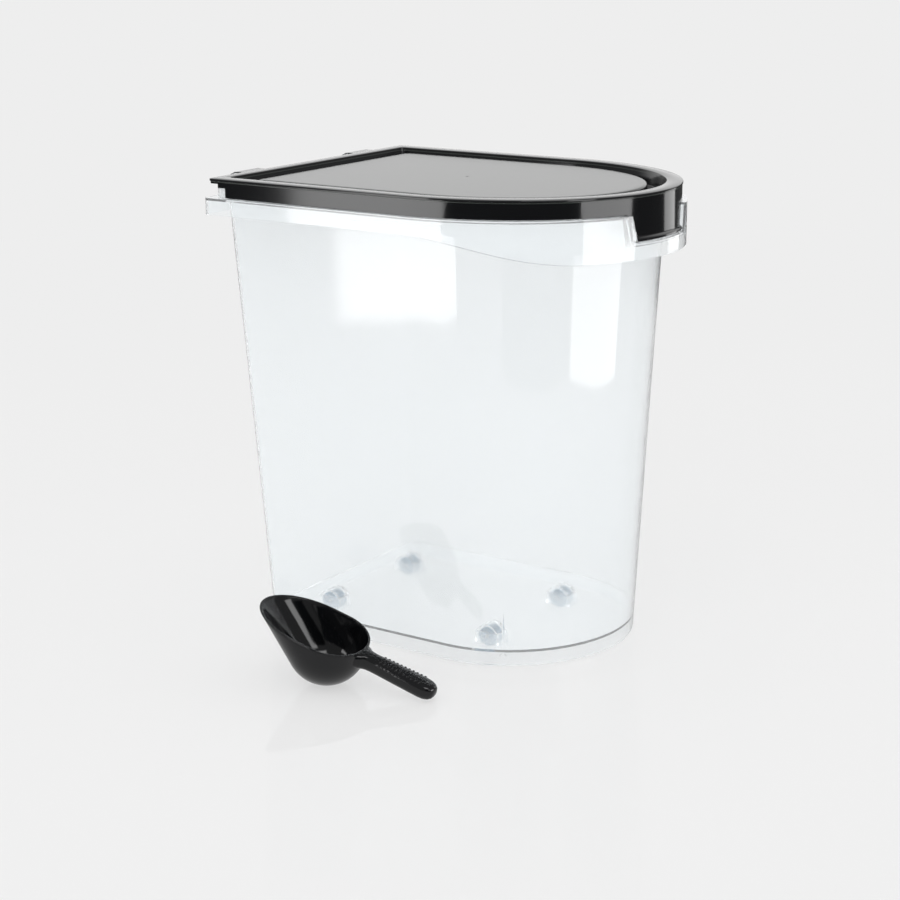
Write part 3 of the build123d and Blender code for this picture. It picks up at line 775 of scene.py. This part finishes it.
least_front = 0.2


def in_bowl(x, y, z, radius):
    """Whether a point lies in the bowl's form: a ball, a round ramp, and upright walls above them."""
    along, up = x - heel_x, z - heel_z
    off_ramp = up * cos(ramp_angle) - along * sin(ramp_angle)
    if along * along + y * y + min(up, 0) ** 2 <= radius * radius:
        return True
    if along * cos(ramp_angle) + up * sin(ramp_angle) < 0 or abs(y) > radius:
        return False
    return off_ramp >= 0 and along >= 0 and up >= 0 or off_ramp ** 2 + y * y <= radius * radius and along >= 0


def bowl_ring(level, radius):
    """The outline of the bowl at one level below its rim, found along rays from its middle."""
    up = level - heel_z
    back = heel_x - sqrt(max(radius * radius - min(up, 0) ** 2, 0))
    front = heel_x + (up + radius / cos(ramp_angle)) / tan(ramp_angle)
    front = max(front, heel_x + sqrt(max(radius * radius - up * up, 0)) * least_front)
    middle = (back + front) / 2
    ring = []
    for step in range(bowl_points):
        turn = 2 * pi * step / bowl_points
        near, far = 0, 4 * bowl_radius
        for halving in range(halvings):
            reach = (near + far) / 2
            if in_bowl(middle + reach * cos(turn), reach * sin(turn), level, radius):
                near = reach
            else:
                far = reach
        spot = Vector((middle + near * cos(turn), near * sin(turn), level))
        ring.append(scoop_origin + scoop_turned @ spot)
    return ring


def bowl_levels(radius):
    """Levels from just above the lowest point of a ball of that radius up to its middle, then to the rim."""
    turns = [radians(turn) for turn in (4, 9, 15, 22, 30, 38, 46, 54, 62, 70, 78, 86)]
    round_part = [heel_z - radius * cos(turn) for turn in turns]
    return round_part + [heel_z * share for share in (1, 0.75, 0.5, 0.25)]


inner_radius = bowl_radius - bowl_wall
rings = [bowl_ring(level, bowl_radius) for level in bowl_levels(bowl_radius)]
rings += [bowl_ring(-rim_round, bowl_radius), bowl_ring(-rim_bend, bowl_radius - rim_bend)]
rings += [bowl_ring(0, bowl_radius - rim_round), bowl_ring(0, inner_radius + rim_round)]
rings += [bowl_ring(-rim_bend, inner_radius + rim_bend), bowl_ring(-rim_round, inner_radius)]
rings += [bowl_ring(level, inner_radius) for level in reversed(bowl_levels(inner_radius))]
scoop = stack_rings("scoop_moulding", rings)

# Scoop grip: the solid handle of the same moulding. It flares out of the bowl's back wall, swells towards its
# round end, and has rows of small raised dots on top.
grip_sides = 48
grip_top = -0.6 * mm
grip_foot = -17.2 * mm
grip_middle = (grip_top + grip_foot) / 2


def rounded(part):
    """Bends a circle's part towards an oval with flatter sides."""
    return abs(part) ** 0.8 * (1 if part > 0 else -1)


def grip_ring(x, half_width, end_step=0.0, root=False):
    """An oval section of the grip. At its root it follows the middle of the bowl's wall."""
    ring = []
    for step in range(grip_sides):
        turn = 2 * pi * step / grip_sides
        y = half_width * mm * rounded(cos(turn))
        z = grip_middle + ((grip_top - grip_foot) / 2 - end_step * mm) * rounded(sin(turn))
        reach = x * mm
        if root:
            reach = heel_x - sqrt((bowl_radius - bowl_wall / 2) ** 2 - y * y - min(z - heel_z, 0) ** 2)
        ring.append(scoop_origin + scoop_turned @ Vector((reach, y, z)))
    return ring


grip = stack_rings("grip", [
    grip_ring(0, 15, root=True),
    grip_ring(-44.5, 12.4),
    grip_ring(-47, 9.6),
    grip_ring(-50, 8),
    grip_ring(-54, 7.4),
    grip_ring(-60, 7.6),
    grip_ring(-75, 8.6),
    grip_ring(-92, 9.5),
    grip_ring(-104, 10),
    grip_ring(-109, 9.6, 0.4),
    grip_ring(-113, 8.3, 1.6),
    grip_ring(-115.5, 6.2, 3.4),
    grip_ring(-116.7, 3.4, 5.6),
])
neck_half_width = 7.6
neck_x = -60
swell = 0.055
dot_radius = 1.2 * mm
dot_sunk = 0.3 * mm
dot_spacing = 4
# Each row's turn round the grip in degrees, and its start and end along the grip in mm.
dot_rows = ((25, -62, -84), (55, -62, -106), (90, -64, -104), (125, -62, -106))
bpy.ops.object.select_all(action="DESELECT")
bpy.ops.mesh.primitive_uv_sphere_add(segments=10, ring_count=8, radius=dot_radius)
dots = bpy.context.object
bpy.ops.object.mode_set(mode="EDIT")
bpy.ops.mesh.delete(type="VERT")
for turn, start, end in dot_rows:
    for x in range(start, end, -dot_spacing):
        bpy.ops.mesh.select_all(action="DESELECT")
        bpy.ops.mesh.primitive_uv_sphere_add(segments=10, ring_count=8, radius=dot_radius)
        y = (neck_half_width + (neck_x - x) * swell) * mm * rounded(cos(radians(turn)))
        z = grip_middle + (grip_top - grip_foot) / 2 * rounded(sin(radians(turn))) - dot_sunk
        bpy.ops.transform.translate(value=scoop_origin + scoop_turned @ Vector((x * mm, y, z)))
bpy.ops.object.mode_set(mode="OBJECT")
combine(grip, dots, "UNION")
combine(scoop, grip, "UNION")
finish_piece(scoop, black_polypropylene, "scoop", ["scoop"], angle=40)
